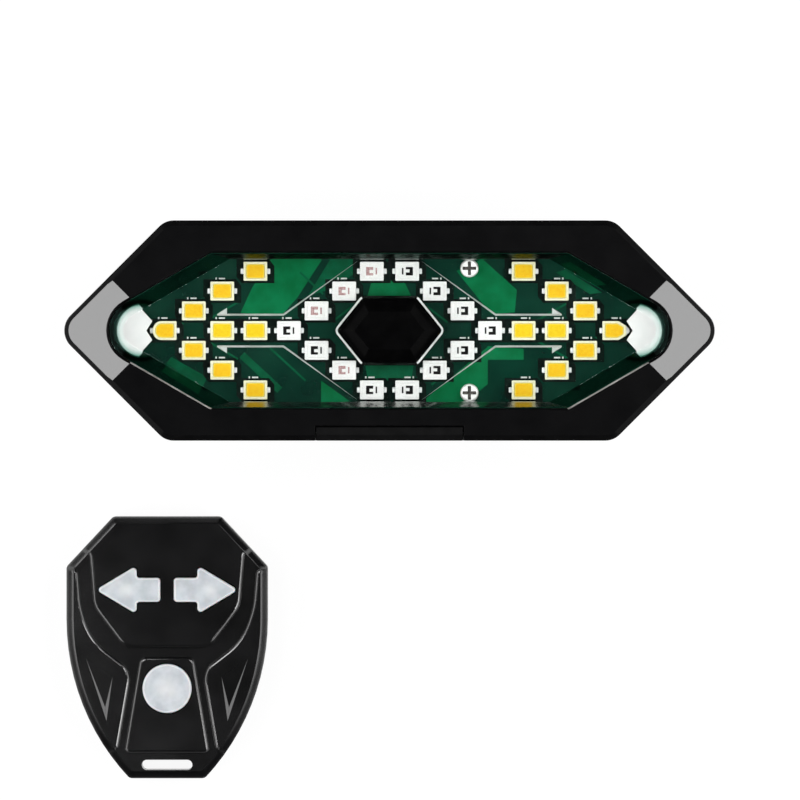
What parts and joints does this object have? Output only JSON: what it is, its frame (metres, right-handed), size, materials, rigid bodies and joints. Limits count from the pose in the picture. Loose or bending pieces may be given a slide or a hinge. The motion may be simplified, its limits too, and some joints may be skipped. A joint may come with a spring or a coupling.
{
  "type": "bicycle turn signal light",
  "caption": "Long hexagonal rear bicycle lamp with arrow-shaped turn signals behind a clear lens, on a seat-post bracket, with its wireless hand remote.",
  "frame": {"origin": "middle of the set's footprint, on the surface that the bracket and the remote lie on", "axes": "+X along the lamp to the rider's right-hand signal as the picture shows it, +Y up the seat post when the lamp is fitted, +Z out of the lamp's face"},
  "size_m": [0.096, 0.0826, 0.0345],
  "materials": {
    "gloss_black_plastic": "polished moulded ABS",
    "satin_black_plastic": "fine satin moulded ABS",
    "dark_inner_plastic": "moulded",
    "black_rubber": "matt moulded rubber",
    "clear_plastic": "clear polycarbonate",
    "white_reflector": "white moulded plastic",
    "green_board": "green solder mask",
    "led_package": "white moulded plastic",
    "amber_phosphor": "amber silicone",
    "red_die": "die in clear silicone",
    "red_plunger": "moulded",
    "black_chip": "moulded epoxy",
    "blue_board": "blue solder mask",
    "copper_wire": "enamelled wire",
    "cell_foil": "laminated foil",
    "foam_tape": "foam tape",
    "lead_wire": "insulated wire",
    "steel": "plated steel",
    "translucent_silicone": "milky silicone",
    "contact_brass": "plated spring brass"
  },
  "bodies": {
    "lamp": {"front_bezel": "gloss_black_plastic", "rear_housing": "satin_black_plastic", "housing_seal": "black_rubber", "clear_lens": "clear_plastic", "lens_seal": "black_rubber", "lens_spacers": "dark_inner_plastic", "tip_reflectors": "white_reflector", "led_board": "green_board", "left_signal_leds": "led_package", "left_signal_phosphors": "amber_phosphor", "right_signal_leds": "led_package", "right_signal_phosphors": "amber_phosphor", "brake_leds": "led_package", "brake_led_dies": "red_die", "power_switch": "dark_inner_plastic", "board_components": "black_chip", "radio_module": "blue_board", "receiver_antenna": "copper_wire", "battery_cell": "cell_foil", "battery_pad": "foam_tape", "battery_leads": "lead_wire", "charging_port": "steel", "charging_port_tongue": "dark_inner_plastic", "board_screws": "steel", "housing_screws": "steel"},
    "power_button": {"power_button": "gloss_black_plastic", "power_switch_plunger": "red_plunger"},
    "port_flap": {"port_flap": "black_rubber"},
    "bracket": {"seatpost_bracket": "satin_black_plastic", "saddle_pad": "black_rubber"},
    "remote": {"remote_top_shell": "satin_black_plastic", "remote_bottom_shell": "satin_black_plastic", "key_sheet": "translucent_silicone", "key_switches": "steel", "remote_board": "green_board", "remote_chip": "black_chip", "coin_cell": "steel", "coin_cell_spring": "contact_brass", "coin_cell_clip": "contact_brass", "remote_screws": "steel"},
    "left_key": {"left_key": "translucent_silicone", "left_key_plunger": "dark_inner_plastic"},
    "right_key": {"right_key": "translucent_silicone", "right_key_plunger": "dark_inner_plastic"},
    "mode_key": {"mode_key": "translucent_silicone", "mode_key_plunger": "dark_inner_plastic"},
    "battery_door": {"battery_door": "satin_black_plastic", "door_seal": "black_rubber"}
  },
  "joints": [
    {"name": "power_button_press", "type": "slide", "parent": "lamp", "child": "power_button", "axis": [0, 0, -1], "range_m": [0, 0.0003], "stiffness_N_per_m": 300, "springref_m": -0.001},
    {"name": "port_flap_hinge", "type": "hinge", "parent": "lamp", "child": "port_flap", "pos_m": [0, 0.00965, 0.02019], "axis": [1, 0, 0], "range_deg": [0, 100]},
    {"name": "bracket_slide", "type": "slide", "parent": "lamp", "child": "bracket", "axis": [0, -1, 0], "range_m": [0, 0.026]},
    {"name": "remote_lift", "type": "slide", "parent": "lamp", "child": "remote", "axis": [0, 0, 1], "range_m": [0, 0.1]},
    {"name": "left_key_press", "type": "slide", "parent": "remote", "child": "left_key", "axis": [0, 0, -1], "range_m": [0, 0.0004], "stiffness_N_per_m": 300, "springref_m": -0.001},
    {"name": "right_key_press", "type": "slide", "parent": "remote", "child": "right_key", "axis": [0, 0, -1], "range_m": [0, 0.0004], "stiffness_N_per_m": 300, "springref_m": -0.001},
    {"name": "mode_key_press", "type": "slide", "parent": "remote", "child": "mode_key", "axis": [0, 0, -1], "range_m": [0, 0.0004], "stiffness_N_per_m": 300, "springref_m": -0.001},
    {"name": "battery_door_turn", "type": "hinge", "parent": "remote", "child": "battery_door", "pos_m": [-0.03305, -0.0179, 0.0007], "axis": [0, 0, 1], "range_deg": [0, 45]}
  ]
}
